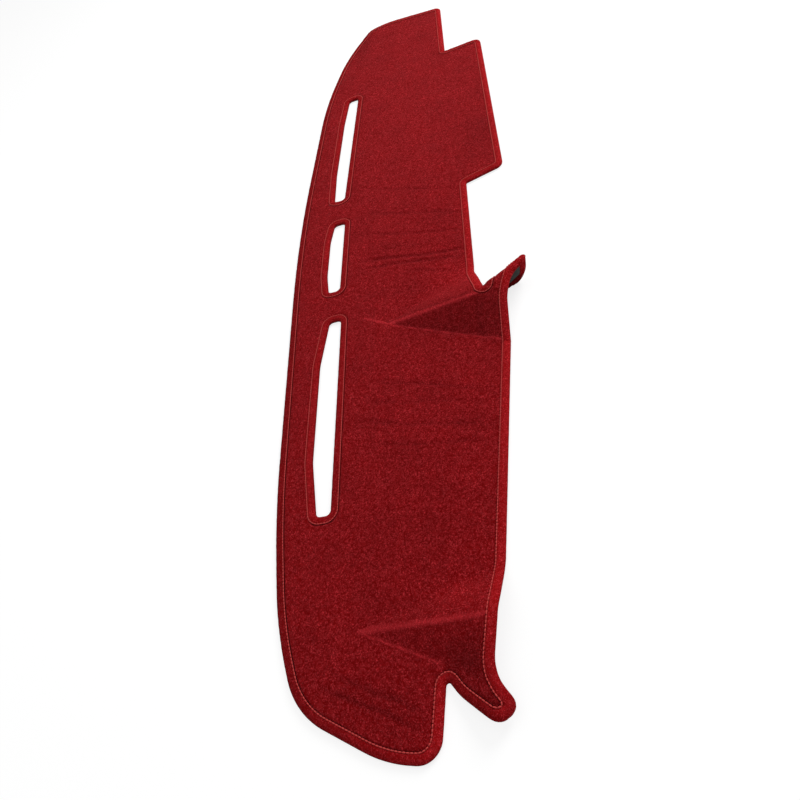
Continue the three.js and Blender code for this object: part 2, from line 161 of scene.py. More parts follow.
STITCH = (
    # one stitch: place along it, rise and thickness as shares of the thread's
    (0.04, -0.6, 0.5), (0.2, 0.1, 0.95), (0.5, 0.35, 1.0), (0.8, 0.1, 0.95),
    (0.96, -0.6, 0.5),
)

# Relief of the pile side: size and height of each kind of unevenness
SLACK = (120, 0.5)
SLACK_SEED = 3
TUFTS = ((7, 5, 0.16), (4.5, 7, 0.12))    # size, seed and height
TUFT_WAVES = 9
DART_HEIGHT = 0.7
DART_HALF_WIDTH = 1.5

# Wrinkles left by rolling the mat up: both ends, and the depth
WRINKLES = (
    ((159, -21), (70, -215), 0.7),
    ((91, -28), (15, -219), 0.8),
    ((35, -35), (-24, -216), 0.9),
    ((-23, -22), (-64, -222), 1.4),
    ((-40, -26), (-73, -213), 1.2),
    ((-72, -110), (-102, -204), 0.8),
    ((-256, -60), (-311, -228), 0.8),
    ((-283, -29), (-328, -227), 0.7),
    ((-316, -37), (-361, -228), 0.8),
    ((-351, -46), (-381, -222), 0.7),
    ((-620, -18), (-671, -134), 1.0),
    ((-606, -24), (-656, -136), 0.8),
)
WRINKLE_HALF_WIDTH = 2.6
WRINKLE_LIP = 0.5                  # height of the lip as a share of the depth
WRINKLE_FADE = (4, 5)              # how steeply it starts and ends
WRINKLE_SHADE = (0.2, 2.2)         # darkening of the pile in a wrinkle, and half width
WANDERING = ((1.2, 19, 1), (0.4, 6, 2))   # sideways reach, length and phase step

# The photograph's camera: its place, and its angles in degrees
CAMERA_PLACE = (-761.75, -332.15, 618.0)
CAMERA_HEADING = 25.665
CAMERA_DOWN = 50.111
CAMERA_ROLL = -32.0
CAMERA_NUDGE = (0.0015, 0.0011)   # radians to the left and upward
SENSOR_MM = 36.0
FOCAL_MM = 29.1


def linear(colour):
    """An sRGB hex value as linear red, green and blue."""
    shares = [((colour >> shift) & 255) / 255 for shift in (16, 8, 0)]
    return [s / 12.92 if s <= 0.04045 else ((s + 0.055) / 1.055) ** 2.4 for s in shares]


class CoverMatSizes(bpy.types.PropertyGroup):
    carpet_thickness: bpy.props.FloatProperty(
        name="Carpet thickness", description="Pile and felt together",
        default=CARPET_THICKNESS * MM, unit="LENGTH")
    binding_width: bpy.props.FloatProperty(
        name="Binding width", description="Each side of the folded tape",
        default=TAPE_WIDTH * MM, unit="LENGTH")
    binding_height: bpy.props.FloatProperty(
        name="Binding height", description="Crown of the folded tape over the floor",
        default=TAPE_CROWN * MM, unit="LENGTH")
    pile_spacing: bpy.props.FloatProperty(
        name="Pile spacing", description="Spacing of the mesh of the pile side",
        default=2.6 * MM, unit="LENGTH")
    felt_spacing: bpy.props.FloatProperty(
        name="Felt spacing", description="Spacing of the mesh of the felt side",
        default=8 * MM, unit="LENGTH")
    stitch_length: bpy.props.FloatProperty(
        name="Stitch length", description="One stitch of the bindings",
        default=3.8 * MM, unit="LENGTH")
    thread_width: bpy.props.FloatProperty(
        name="Thread width", description="Diameter of the sewing thread",
        default=1.4 * MM, unit="LENGTH")


class CoverMatColours(bpy.types.PropertyGroup):
    pile: bpy.props.FloatVectorProperty(
        name="Pile", description="Sides of the velour fibres", subtype="COLOR",
        default=linear(0x780204))
    pile_tip: bpy.props.FloatVectorProperty(
        name="Pile tips", description="Loose, lighter ends of the fibres", subtype="COLOR",
        default=linear(0xDC343C))
    tape: bpy.props.FloatVectorProperty(
        name="Binding", description="Folded velour tape", subtype="COLOR",
        default=linear(0x860608))
    felt: bpy.props.FloatVectorProperty(
        name="Felt", description="Backing bonded under the pile", subtype="COLOR",
        default=linear(0x4A4C49))
    thread: bpy.props.FloatVectorProperty(
        name="Thread", description="Sewing thread of the bindings", subtype="COLOR",
        default=linear(0xE4504E))
    sheen: bpy.props.FloatVectorProperty(
        name="Sheen", description="Pile of the carpet at low angles", subtype="COLOR",
        default=linear(0xF08088))


# Flat pattern

def rounded_loop(corners, spacing):
    """Points along a closed line of straight runs and rounded corners."""
    corners = [np.array(c, float) for c in corners]
    arcs = []
    for i, here in enumerate(corners):
        before, after = corners[i - 1], corners[(i + 1) % len(corners)]
        into, out = here[:2] - before[:2], after[:2] - here[:2]
        room = CORNER_ROOM * min(np.linalg.norm(into), np.linalg.norm(out))
        into, out = into / np.linalg.norm(into), out / np.linalg.norm(out)
        turn = math.atan2(into[0] * out[1] - into[1] * out[0], into @ out)
        reach = min(here[2] * math.tan(abs(turn) / 2), room)
        radius = reach / math.tan(abs(turn) / 2)
        start = here[:2] - into * reach
        side = math.copysign(radius, turn)
        centre = start + np.array((-into[1], into[0])) * side
        step = min(spacing, ARC_STEP * radius)
        count = max(2, math.ceil(radius * abs(turn) / step))
        angles = turn * np.arange(count + 1) / count
        spoke = start - centre
        arcs.append(centre + np.stack((
            spoke[0] * np.cos(angles) - spoke[1] * np.sin(angles),
            spoke[0] * np.sin(angles) + spoke[1] * np.cos(angles)), 1))
    points = []
    for arc, following in zip(arcs, arcs[1:] + arcs[:1]):
        points.append(arc)
        run = following[0] - arc[-1]
        count = math.ceil(np.linalg.norm(run) / spacing)
        shares = np.arange(1, count) / max(1, count)
        points.append(arc[-1] + shares[:, None] * run)
    return np.concatenate(points)


def slot_corners(start, end, line, bow, turn):
    half, depth = (end - start) / 2, SLOT_HALF_WIDTH
    local = np.array((
        (half, -depth, SLOT_CORNER), (-half, -depth, SLOT_CORNER),
        (-half, depth, SLOT_CORNER), (-half / 2, depth + bow, SLOT_BOW_RADIUS),
        (half / 2, depth + bow, SLOT_BOW_RADIUS), (half, depth, SLOT_CORNER)))
    cos, sin = math.cos(turn), math.sin(turn)
    x = (start + end) / 2 + cos * local[:, 0] - sin * local[:, 1]
    y = line + sin * local[:, 0] + cos * local[:, 1]
    return np.stack((x, y, local[:, 2]), 1)


def inset(loop, distance):
    """The same loop moved into the material."""
    into = loop - np.roll(loop, 1, 0)
    into /= np.linalg.norm(into, axis=1)[:, None]
    out = np.roll(into, -1, 0)
    normal = np.stack((-into[:, 1] - out[:, 1], into[:, 0] + out[:, 0]), 1)
    return loop + normal * (distance / (1 + (into * out).sum(1)))[:, None]


def is_inside(points, loop):
    odd = np.zeros(len(points), bool)
    for a, b in zip(loop, np.roll(loop, -1, 0)):
        if a[1] == b[1]:
            continue
        crosses = (a[1] > points[:, 1]) != (b[1] > points[:, 1])
        at = a[0] + (points[:, 1] - a[1]) * (b[0] - a[0]) / (b[1] - a[1])
        odd ^= crosses & (points[:, 0] < at)
    return odd


# How the sheet lies

def smooth(value, low, high):
    share = np.clip((value - low) / np.maximum(high - low, 1e-6), 0, 1)
    return share * share * (3 - 2 * share)


def mix(low, high, share):
    return low + (high - low) * share


def along(start, end, y):
    return (y - start[1]) / (end[1] - start[1])


def ridge_height(x, y, ridge):
    """Straight down to its valley on one side of the crest, gentle on the other."""
    start, end, valley_end, height, run, lift = ridge
    share = np.maximum(0, along(start, end, y))
    crest = mix(start[0], end[0], share)
    valley = mix(start[0], valley_end[0], along(start, valley_end, y))
    foot = lift * smooth(-y, -valley_end[1], -end[1])
    peak = height * share
    steep = np.minimum(1, (crest - x) / np.maximum(crest - valley, 1e-6))
    side = np.where(x < crest, mix(peak, foot, steep),
                    peak * (1 - smooth(x - crest, 0, run * share)))
    return np.where(share > 0, side, 0)


def bent_tab(past, height, rise, bend):
    """Reach and height at a length past the crest, of a tab that hangs to the floor."""
    radius, fall = bend
    bent = np.minimum(past, radius * (rise + fall))
    slope = rise - bent / radius
    lowered = height + radius * (np.cos(slope) - np.cos(rise))
    floor = TAB_CLEARANCE * max(0, -math.cos(fall))
    hanging = np.minimum(past - bent, np.maximum(0, lowered - floor) / math.sin(fall))
    reach = radius * (np.sin(rise) - np.sin(slope)) + hanging * np.cos(slope)
    return reach + past - bent - hanging, np.maximum(0, lowered + hanging * np.sin(slope))


def inner_tab(x, y):
    end, valley, height = INNER_RIDGE[1], INNER_RIDGE[2], INNER_RIDGE[3]
    share = np.clip(along(end, INNER_TIP, y), 0, 1)
    crest = mix(end[0], INNER_TIP[0], share)
    peak = mix(height, INNER_TIP_HEIGHT, share)
    width = crest - valley[0]
    reach, drop = bent_tab(np.maximum(0, x - crest), peak, np.arctan2(peak, width), INNER_BEND)
    slope = peak * np.maximum(0, 1 - (crest - x) / width)
    before = x < crest
    return np.where(before, x, crest + reach), np.where(before, slope, drop)


def outer_tab(x, y, z):
    root = np.array(OUTER_RIDGE[2], float)
    out = np.array(OUTER_TIP, float) - root
    hinge = np.linalg.norm(out) - OUTER_DROOP
    out /= np.linalg.norm(out)
    past = (x - root[0]) * out[0] + (y - root[1]) * out[1] - hinge
    reach, drop = bent_tab(np.maximum(0, past), z, 0.0, OUTER_BEND)
    on = (past > 0) & (y < DRIVER_FRONT) & (x < root[0])
    back = np.where(on, reach - past, 0)
    return x + out[0] * back, y + out[1] * back, np.where(on, drop, z)


def lay(points):
    """The underside of the sheet at points of the flat pattern."""
    x, y = points[:, 0], points[:, 1]
    z = ridge_height(x, y, INNER_RIDGE) + ridge_height(x, y, OUTER_RIDGE)
    share = smooth(-y, -CUTOUT_EDGE, -INNER_RIDGE[1][1] + INNER_BEND[0])
    share = np.where((x > INNER_RIDGE[2][0]) & (x < CUTOUT_SIDE), share, 0)
    tab_x, tab_z = inner_tab(x, y)
    laid_x, laid_z = mix(x, tab_x, share), mix(z, tab_z, share)
    laid_x, laid_y, laid_z = outer_tab(laid_x, y, laid_z)
    return np.stack((laid_x, laid_y, laid_z), 1)


SLOPE_STEP = 1.5                   # to each side of a point, where its slope is measured


def surface(points, height):
    """Points of the frame, in metres, at a height in millimetres over the underside."""
    step_x, step_y = np.array((SLOPE_STEP, 0)), np.array((0, SLOPE_STEP))
    slope_x = lay(points + step_x) - lay(points - step_x)
    slope_y = lay(points + step_y) - lay(points - step_y)
    normal = np.cross(slope_x, slope_y)
    normal /= np.linalg.norm(normal, axis=1)[:, None]
    laid = lay(points) + normal * np.broadcast_to(height, len(points))[:, None]
    return laid * MM + MAT_ORIGIN


def mat_origin():
    """The middle of the middle vent slot's line, in the frame."""
    low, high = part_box("middle_slot_binding")
    _, _, line, _, _ = SLOTS["middle"]
    border = SLOT_HALF_WIDTH + TAPE_WIDTH - line
    return np.array(((low.x + high.x) / 2, low.y + border * MM, 0.0))


MAT_ORIGIN = mat_origin()


# Relief

def wave_noise(points, size, seed, count=5):
    """Smooth pseudo-random heights from -1 to 1, with features of about that size."""
    rng = np.random.default_rng(seed)
    total = np.zeros(len(points))
    for _ in range(count):
        angle, phase = rng.uniform(0, math.tau), rng.uniform(0, math.tau)
        stretch = rng.uniform(0.7, 1.5)
        across = points[:, 0] * math.cos(angle) + points[:, 1] * math.sin(angle)
        beside = points[:, 0] * math.sin(angle) - points[:, 1] * math.cos(angle)
        bend = np.sin(beside / size + phase)
        total += np.sin(math.tau * across / (size * stretch) + phase + bend)
    return total / count


def distance_to_line(points, start, end):
    start, end = np.array(start, float), np.array(end, float)
    run = end - start
    share = np.clip(((points - start) @ run) / (run @ run), 0, 1)
    return np.linalg.norm(points - start - share[:, None] * run, axis=1), share


def wrinkle_lines(points):
    """For each wrinkle: the points moved as it wanders, its ends, its depth at them
    with both ends faded out, and how far from it they are."""
    starting, ending = WRINKLE_FADE
    for index, (start, end, depth) in enumerate(WRINKLES):
        aside = sum(reach * np.sin(points[:, 1] / length + phase * index)
                    for reach, length, phase in WANDERING)
        bent = points + np.stack((aside, np.zeros(len(points))), 1)
        away, share = distance_to_line(bent, start, end)
        faded = depth * np.clip(starting * share, 0, 1)
        faded *= np.clip(ending * (1 - share), 0, 1)
        yield bent, start, end, faded, away


def wrinkle_relief(points):
    """Narrow valleys, each with a slight lip on its passenger side."""
    relief = np.zeros(len(points))
    for bent, start, end, depth, away in wrinkle_lines(points):
        lip, _ = distance_to_line(bent - (2 * WRINKLE_HALF_WIDTH, 0), start, end)
        relief -= depth * np.exp(-(away / WRINKLE_HALF_WIDTH) ** 2)
        relief += WRINKLE_LIP * depth * np.exp(-(lip / WRINKLE_HALF_WIDTH) ** 2)
    return relief


# Both creases of each ridge, and one that runs on from the inner ridge's start
DARTS = (
    ((-146, -56), INNER_RIDGE[0]),
    (INNER_RIDGE[0], INNER_RIDGE[1]), (INNER_RIDGE[0], INNER_RIDGE[2]),
    (OUTER_RIDGE[0], OUTER_RIDGE[1]), (OUTER_RIDGE[0], OUTER_RIDGE[2]),
)


def dart_share(points):
    """1 on the creases of the hood's darts, down to 0 beside them."""
    share = np.zeros(len(points))
    for start, end in DARTS:
        away, _ = distance_to_line(points, start, end)
        share = np.maximum(share, np.exp(-(away / DART_HALF_WIDTH) ** 2))
    return share


# Patches of the pile coloured darker (below 0) or lighter, from brushed nap and from painted
# shade and highlight on ridges, tabs and ends: middle, radii along x and y, and how much
NAP_AND_SHADE_PATCHES = (
    ((-200, -205), (30, 55), -0.16),
    ((-120, -200), (45, 45), 0.22),
    ((-552, -180), (26, 30), 0.24),
    ((-606, -186), (24, 34), -0.26),
    ((-648, -205), (16, 16), -0.3),
    ((623, -25), (50, 18), -0.22),
    ((200, -245), (45, 26), -0.2),
    ((-640, -60), (40, 110), -0.1),
    ((-480, -120), (120, 90), -0.07),
    ((300, -120), (260, 90), 0.06),
)
UNEVEN_NAP = ((60, 31, 0.1), (22, 33, 0.06))   # size, seed and how much
HOLLOW_SHADE = 0.2                 # of the steep side of the inner ridge
CREST_SHADE = (5, 0.22, 2.2)       # past the inner crest: how far, how much, half width


def nap_and_painted_shade(points):
    """How much lighter or darker the pile is coloured: brushed nap, painted shade and
    highlight.
    """
    share = sum(much * wave_noise(points, size, seed) for size, seed, much in UNEVEN_NAP)
    for (x, y), (wide, deep), much in NAP_AND_SHADE_PATCHES:
        away = ((points[:, 0] - x) / wide) ** 2 + ((points[:, 1] - y) / deep) ** 2
        share += much * np.exp(-away)
    start, end, valley, _, _, _ = INNER_RIDGE
    crest = mix(start[0], end[0], along(start, end, points[:, 1]))
    foot = mix(start[0], valley[0], along(start, valley, points[:, 1]))
    hollow = (points[:, 0] < crest) & (points[:, 0] > foot) & (points[:, 1] < start[1])
    share -= HOLLOW_SHADE * hollow
    aside, much, half_width = CREST_SHADE
    away, _ = distance_to_line(points - (aside, 0), start, end)
    share -= much * np.exp(-(away / half_width) ** 2)
    much, half_width = WRINKLE_SHADE
    for _, _, _, depth, away in wrinkle_lines(points):
        share -= much * depth * np.exp(-(away / half_width) ** 2)
    return share


# Meshes

def add_piece(name, vertices, faces, materials):
    mesh = bpy.data.meshes.new(name)
    mesh.from_pydata(vertices.tolist(), [], faces)
    mesh.validate()
    mesh.shade_smooth()
    for material in materials:
        mesh.materials.append(material)
    piece = bpy.data.objects.new(name, mesh)
    bpy.context.scene.collection.objects.link(piece)
    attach(piece, "root")
    return piece


def add_attribute(mesh, name, values):
    attribute = mesh.attributes.new(name, "FLOAT", "POINT")
    attribute.data.foreach_set("value", np.asarray(values, np.float32))


def edge_loops(spacing):
    loops = {"edge": rounded_loop(OUTLINE, spacing)}
    for place, size in SLOTS.items():
        loops[place] = rounded_loop(slot_corners(*size), spacing)
    return loops


def point_tree(points):
    tree = KDTree(len(points))
    for i, (x, y) in enumerate(points):
        tree.insert((x, y, 0), i)
    tree.balance()
    return tree


def is_on_sheet(points, rims):
    """Inside the first rim and outside the others."""
    on = is_inside(points, rims[0])
    for rim in rims[1:]:
        on &= ~is_inside(points, rim)
    return on


def field_points(rims, spacing, clear):
    """Staggered rows of points over the sheet, clear of its rims."""
    edge = np.concatenate(rims)
    tree = point_tree(edge)
    low, high = edge.min(0), edge.max(0)
    rows = np.arange(low[1], high[1], spacing * math.sin(math.pi / 3))
    columns = np.arange(low[0], high[0], spacing)
    grid = np.array([
        (x + (i % 2) * spacing / 2, y) for i, y in enumerate(rows) for x in columns])
    grid = grid[is_on_sheet(grid, rims)]
    far = np.array([tree.find((x, y, 0))[2] > clear for x, y in grid])
    return grid[far]


def uncrowded(points, first, clear):
    """Which points to keep: those before the first, and each later one that has no
    kept point too near."""
    tree = point_tree(points)
    keep = np.ones(len(points), bool)
    for i in range(first, len(points)):
        near = tree.find_range((points[i, 0], points[i, 1], 0), clear)
        keep[i] = not any(j < i and keep[j] for _, j, _ in near)
    return keep


SLIVER = 5e-4                      # height of a triangle that is left out, in millimetres


def triangles(points, rims):
    """Triangles on the sheet between the points, the first of which are the rims."""
    corners = [Vector((x, y)) for x, y in points]
    sides, first = [], 0
    for rim in rims:
        sides += [(first + i, first + (i + 1) % len(rim)) for i in range(len(rim))]
        first += len(rim)
    made = delaunay_2d_cdt(corners, sides, [], 0, 1e-5)
    if len(made[0]) != len(points):
        raise RuntimeError("the edges of the sheet meet each other")
    faces = np.array(made[2])
    order = np.array([origin[0] for origin in made[3]])
    faces = order[faces]
    on = is_on_sheet(points[faces].mean(1), rims)
    a, b, c = points[faces[:, 0]], points[faces[:, 1]], points[faces[:, 2]]
    area = np.cross(b - a, c - a) / 2
    faces[area < 0] = faces[area < 0][:, ::-1]
    longest = np.max([np.linalg.norm(side, axis=1) for side in (b - a, c - b, a - c)], 0)
    return faces[on & (2 * abs(area) > SLIVER * longest)]


def add_node(tree, kind, settings=None, links=None, place=(0, 0)):
    """Adds a node, sets its sockets or properties, and links its inputs."""
    node = tree.nodes.new(kind)
    node.location = place
    for key, value in (settings or {}).items():
        if isinstance(key, int) or key in node.inputs:
            node.inputs[key].default_value = value
        else:
            setattr(node, key, value)
    for key, socket in (links or {}).items():
        tree.links.new(socket, node.inputs[key])
    return node


def new_material(name):
    material = bpy.data.materials.new(name)
    material.use_nodes = True
    material.node_tree.nodes.clear()
    return material, material.node_tree


def opaque(colour):
    return (*colour, 1.0)


def velour(name, side, tip, sheen, sheen_tint, tuft_mm):
    """Cut velour of nylon: soft fibres on end. Their sides, seen from above, are dark
    and saturated, and their tips catch the light at low angles as a pale sheen."""
    material, tree = new_material(name)
    place = add_node(tree, "ShaderNodeTexCoord", place=(-1400, 0)).outputs["Object"]
    # tufts are under a millimetre, and are drawn coarser so that they show
    tufts = add_node(tree, "ShaderNodeTexNoise", {
        "Scale": 1 / (tuft_mm * MM), "Detail": 4.0, "Roughness": 0.75}, {"Vector": place},
        (-1100, 300))
    clumps = add_node(tree, "ShaderNodeTexNoise", {
        "Scale": 1 / (4.5 * MM), "Detail": 2.0, "Roughness": 0.6}, {"Vector": place},
        (-1100, 0))
    fibres = add_node(tree, "ShaderNodeTexVoronoi", {
        "Scale": 1 / (3.4 * MM), "Randomness": 1.0}, {"Vector": place}, (-1100, -250))
    specks = add_node(tree, "ShaderNodeMapRange", {
        "From Min": 0.51, "From Max": 0.63, "To Max": 0.85},
        {"Value": tufts.outputs["Fac"]}, (-850, 300))
    matted = add_node(tree, "ShaderNodeMapRange", {
        "From Min": 0.45, "From Max": 0.7, "To Max": 0.2},
        {"Value": clumps.outputs["Fac"]}, (-850, 0))
    stray = add_node(tree, "ShaderNodeMapRange", {
        "From Min": 0.3, "From Max": 0.08, "To Max": 0.3},
        {"Value": fibres.outputs["Distance"]}, (-850, -250))
    light = add_node(tree, "ShaderNodeMath", {"operation": "ADD"}, {
        0: specks.outputs["Result"], 1: matted.outputs["Result"]}, (-600, 200))
    strewn = add_node(tree, "ShaderNodeMath", {"operation": "ADD", "use_clamp": True}, {
        0: light.outputs[0], 1: stray.outputs["Result"]}, (-450, 100))
    # painted highlight on the dart creases, from the seam attribute
    seam = add_node(tree, "ShaderNodeAttribute", {"attribute_name": "seam"}, place=(-600, 450))
    specks_and_crease_highlight = add_node(tree, "ShaderNodeMath", {
        "operation": "MULTIPLY_ADD", "use_clamp": True, 1: 0.75}, {
        0: seam.outputs["Fac"], 2: strewn.outputs[0]}, (-300, 250))
    colour = add_node(tree, "ShaderNodeMix", {
        "data_type": "RGBA", "A": opaque(side), "B": opaque(tip)}, place=(-150, 150))
    tree.links.new(specks_and_crease_highlight.outputs[0], colour.inputs["Factor"])
    # pile value from the nap attribute: brushed nap, painted shade and painted highlight
    nap_and_painted_shading = add_node(tree, "ShaderNodeAttribute", {"attribute_name": "nap_and_painted_shading"}, place=(-300, -150))
    shade = add_node(tree, "ShaderNodeMath", {"operation": "ADD", 1: 1.0}, {
        0: nap_and_painted_shading.outputs["Fac"]}, (-100, -150))
    shaded = add_node(tree, "ShaderNodeHueSaturation", None, {
        "Value": shade.outputs[0], "Color": colour.outputs["Result"]}, (50, 50))
    bump = add_node(tree, "ShaderNodeBump", {"Strength": 0.8, "Distance": 0.9 * MM}, {
        "Height": strewn.outputs[0]}, (50, -250))
    shader = add_node(tree, "ShaderNodeBsdfPrincipled", {
        "Roughness": 0.95, "Specular IOR Level": 0.05, "Sheen Weight": sheen,
        "Sheen Roughness": 0.4, "Sheen Tint": opaque(sheen_tint)}, {
        "Base Color": shaded.outputs["Color"], "Normal": bump.outputs["Normal"]}, (300, 0))
    add_node(tree, "ShaderNodeOutputMaterial", None, {"Surface": shader.outputs[0]}, (600, 0))
    return material


def needled_felt(colour):
    """Needled polyester felt: dull and grey, matted, with fibres too fine to tell apart."""
    material, tree = new_material("Needled grey felt")
    place = add_node(tree, "ShaderNodeTexCoord", place=(-900, 0)).outputs["Object"]
    mat = add_node(tree, "ShaderNodeTexNoise", {
        "Scale": 1 / (2.5 * MM), "Detail": 6.0, "Roughness": 0.7}, {"Vector": place}, (-700, 0))
    shade = add_node(tree, "ShaderNodeMix", {
        "data_type": "RGBA", "A": opaque([0.6 * c for c in colour]),
        "B": opaque([1.5 * c for c in colour])}, place=(-400, 0))
    tree.links.new(mat.outputs["Fac"], shade.inputs["Factor"])
    bump = add_node(tree, "ShaderNodeBump", {"Strength": 0.5, "Distance": 0.3 * MM}, {
        "Height": mat.outputs["Fac"]}, (-400, -250))
    shader = add_node(tree, "ShaderNodeBsdfPrincipled", {
        "Roughness": 1.0, "Specular IOR Level": 0.1}, {
        "Base Color": shade.outputs["Result"], "Normal": bump.outputs["Normal"]}, (-100, 0))
    add_node(tree, "ShaderNodeOutputMaterial", None, {"Surface": shader.outputs[0]}, (200, 0))
    return material


def twisted_thread(colour):
    """Polyester sewing thread, twisted: a little brighter and smoother than the pile."""
    material, tree = new_material("Twisted polyester thread")
    place = add_node(tree, "ShaderNodeTexCoord", place=(-900, 0)).outputs["Object"]
    twist = add_node(tree, "ShaderNodeTexNoise", {
        "Scale": 1 / (0.8 * MM), "Detail": 1.0}, {"Vector": place}, (-700, 0))
    shade = add_node(tree, "ShaderNodeMix", {
        "data_type": "RGBA", "A": opaque([0.6 * c for c in colour]), "B": opaque(colour)},
        place=(-400, 0))
    tree.links.new(twist.outputs["Fac"], shade.inputs["Factor"])
    shader = add_node(tree, "ShaderNodeBsdfPrincipled", {
        "Roughness": 0.8, "Specular IOR Level": 0.15}, {
        "Base Color": shade.outputs["Result"]}, (-100, 0))
    add_node(tree, "ShaderNodeOutputMaterial", None, {"Surface": shader.outputs[0]}, (200, 0))
    return material


# Pieces

CARPET_SHEEN = 0.12
CARPET_TUFT = 1.5
TAPE_SHEEN = 0.12
TAPE_TUFT = 1.4
CREASE_HIGHLIGHT = 0.7                    # painted highlight on the raised line of a crease, as more tip colour
TAPE_NAP_AND_SHADE = 0.7                     # share of the carpet's nap and painted shade on the tape
EDGE_FRONT_LIGHT = 0.3             # painted light on a tape facing front, painted shade facing back
SLOT_FRONT_LIGHT = 0.1


def rim_walls(rims, base):
    """Faces from each rim of the pile side down to the same rim of the felt side."""
    walls, first = [], 0
    for rim in rims:
        for i in range(len(rim)):
            a, b = first + i, first + (i + 1) % len(rim)
            walls.append([b, a, base + a, base + b])
        first += len(rim)
    return walls


def pile_relief(points, seam):
    """How far the pile stands over an even face."""
    size, height = SLACK
    relief = wrinkle_relief(points) + DART_HEIGHT * seam
    relief += height * (0.5 * wave_noise(points, size, SLACK_SEED) + 0.5)
    for size, seed, height in TUFTS:
        relief += height * wave_noise(points, size, seed, TUFT_WAVES)
    return relief


def make_carpet(sizes, colours):
    thickness = sizes.carpet_thickness / MM
    width = sizes.binding_width / MM
    spacing = sizes.pile_spacing / MM
    loops = list(edge_loops(spacing).values())
    rims = [inset(loop, width + GROOVE) for loop in loops]
    rim_count = sum(len(rim) for rim in rims)
    rings, heights = list(rims), [np.full(rim_count, GROOVE_HEIGHT)]
    for inside, below in ROUNDED_EDGE:
        ring = [inset(loop, width + inside) for loop in loops]
        rings += ring
        heights.append(np.full(rim_count, thickness - below))
    inner = field_points(ring, spacing, PILE_CLEAR * spacing)
    heights.append(np.full(len(inner), thickness))
    top, height = np.concatenate([*rings, inner]), np.concatenate(heights)
    keep = uncrowded(top, rim_count, CROWDED)
    top, height = top[keep], height[keep]
    under = np.concatenate([
        *rims, field_points(rims, sizes.felt_spacing / MM, FELT_CLEAR * spacing)])

    seam = dart_share(top)
    relief = pile_relief(top, seam)
    relief[:rim_count] = 0
    top_faces, under_faces = triangles(top, rims), triangles(under, rims)
    faces = top_faces.tolist() + (under_faces[:, ::-1] + len(top)).tolist()
    faces += rim_walls(rims, len(top))
    pile = velour("Velour carpet, cut pile", colours.pile, colours.pile_tip,
                  CARPET_SHEEN, colours.sheen, CARPET_TUFT)
    carpet = add_piece(
        "velour_carpet",
        np.concatenate([surface(top, height + relief), surface(under, FELT_HEIGHT)]),
        faces, [pile, needled_felt(colours.felt)])
    material_index = np.ones(len(faces), np.int32)
    material_index[:len(top_faces)] = 0
    carpet.data.polygons.foreach_set("material_index", material_index)
    unseen = np.zeros(len(under))
    # seam holds the painted highlight along the dart creases
    add_attribute(carpet.data, "seam", np.concatenate([CREASE_HIGHLIGHT * seam, unseen]))
    # nap holds brushed nap with painted shade and painted highlight
    add_attribute(carpet.data, "nap_and_painted_shading", np.concatenate([nap_and_painted_shade(top), unseen]))
    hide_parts("carpet_sheet")


def make_binding(name, loop, sizes, material, seed, front_light):
    """A tape folded round an edge, with the unevenness of its pile. Its colour has painted
    light where it faces the front, by front_light, and painted shade behind."""
    wide = sizes.binding_width / MM / TAPE_WIDTH
    high = sizes.binding_height / MM / TAPE_CROWN
    rows = []
    for distance, height in TAPE_SECTION:
        points = inset(loop, distance * wide)
        proud = TAPE_PILE if height > TAPE_UNDER else 0.0
        uneven = sum(share * wave_noise(points, size, seed + k, TAPE_WAVES)
                     for k, (size, share) in enumerate(TAPE_UNEVEN))
        rows.append(surface(points, height * high + proud * uneven))
    count = len(loop)
    index = np.arange(count)
    after = np.roll(index, -1)
    faces = []
    for row in range(len(rows)):
        a, b = row * count, ((row + 1) % len(rows)) * count
        faces.append(np.stack((a + index, b + index, b + after, a + after), 1))
    piece = add_piece(
        name, np.concatenate(rows), np.concatenate(faces).tolist(), [material])
    add_attribute(piece.data, "seam", np.zeros(len(piece.data.vertices)))
    outward = loop - inset(loop, 1.0)
    front = -outward[:, 1] / np.linalg.norm(outward, axis=1)
    # painted light facing front and painted shade behind, over the carpet's nap and shade
    nap_and_front_light = TAPE_NAP_AND_SHADE * nap_and_painted_shade(loop) + front_light * front
    unlit = 1 - LIT_SIDE * front_light * np.clip(front, 0, 1)
    add_attribute(piece.data, "nap_and_painted_shading", np.concatenate([
        nap_and_front_light - TAPE_SHADE * smooth(-height, -SHADE_FROM, -SHADE_FULL) * unlit
        for _, height in TAPE_SECTION]))
    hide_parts(name.replace("_tape", "_binding"))


def stitch_tubes(paths, width):
    """Short capsules end to end along each path, each dipping in at both ends."""
    vertices, faces = [], []
    sides = range(THREAD_SIDES)
    for points, normals in paths:
        for start, end, normal in zip(points, points[1:], normals):
            run = end - start
            forward = run / np.linalg.norm(run)
            across = np.cross(forward, normal)
            base = len(vertices)
            for share, rise, size in STITCH:
                centre = start + run * share + normal * rise * width / 2
                for s in sides:
                    angle = math.tau * s / THREAD_SIDES
                    vertices.append(centre + size * width / 2 * (
                        across * math.cos(angle) + normal * math.sin(angle)))
            last = base + (len(STITCH) - 1) * THREAD_SIDES
            for ring in range(base, last, THREAD_SIDES):
                for s in sides:
                    a, b = ring + s, ring + (s + 1) % THREAD_SIDES
                    faces.append([a, b, b + THREAD_SIDES, a + THREAD_SIDES])
            faces.append([base + s for s in reversed(sides)])
            faces.append([last + s for s in sides])
    return np.array(vertices), faces


def evenly(loop, step):
    """Points a step apart round a loop of the flat pattern."""
    line = np.concatenate([loop, loop[:1]])
    runs = np.linalg.norm(np.diff(line, axis=0), axis=1)
    lengths = np.concatenate([[0], np.cumsum(runs)])
    count = max(2, round(lengths[-1] / step))
    at = np.linspace(0, lengths[-1], count + 1)
    return np.stack([np.interp(at, lengths, line[:, axis]) for axis in (0, 1)], 1)


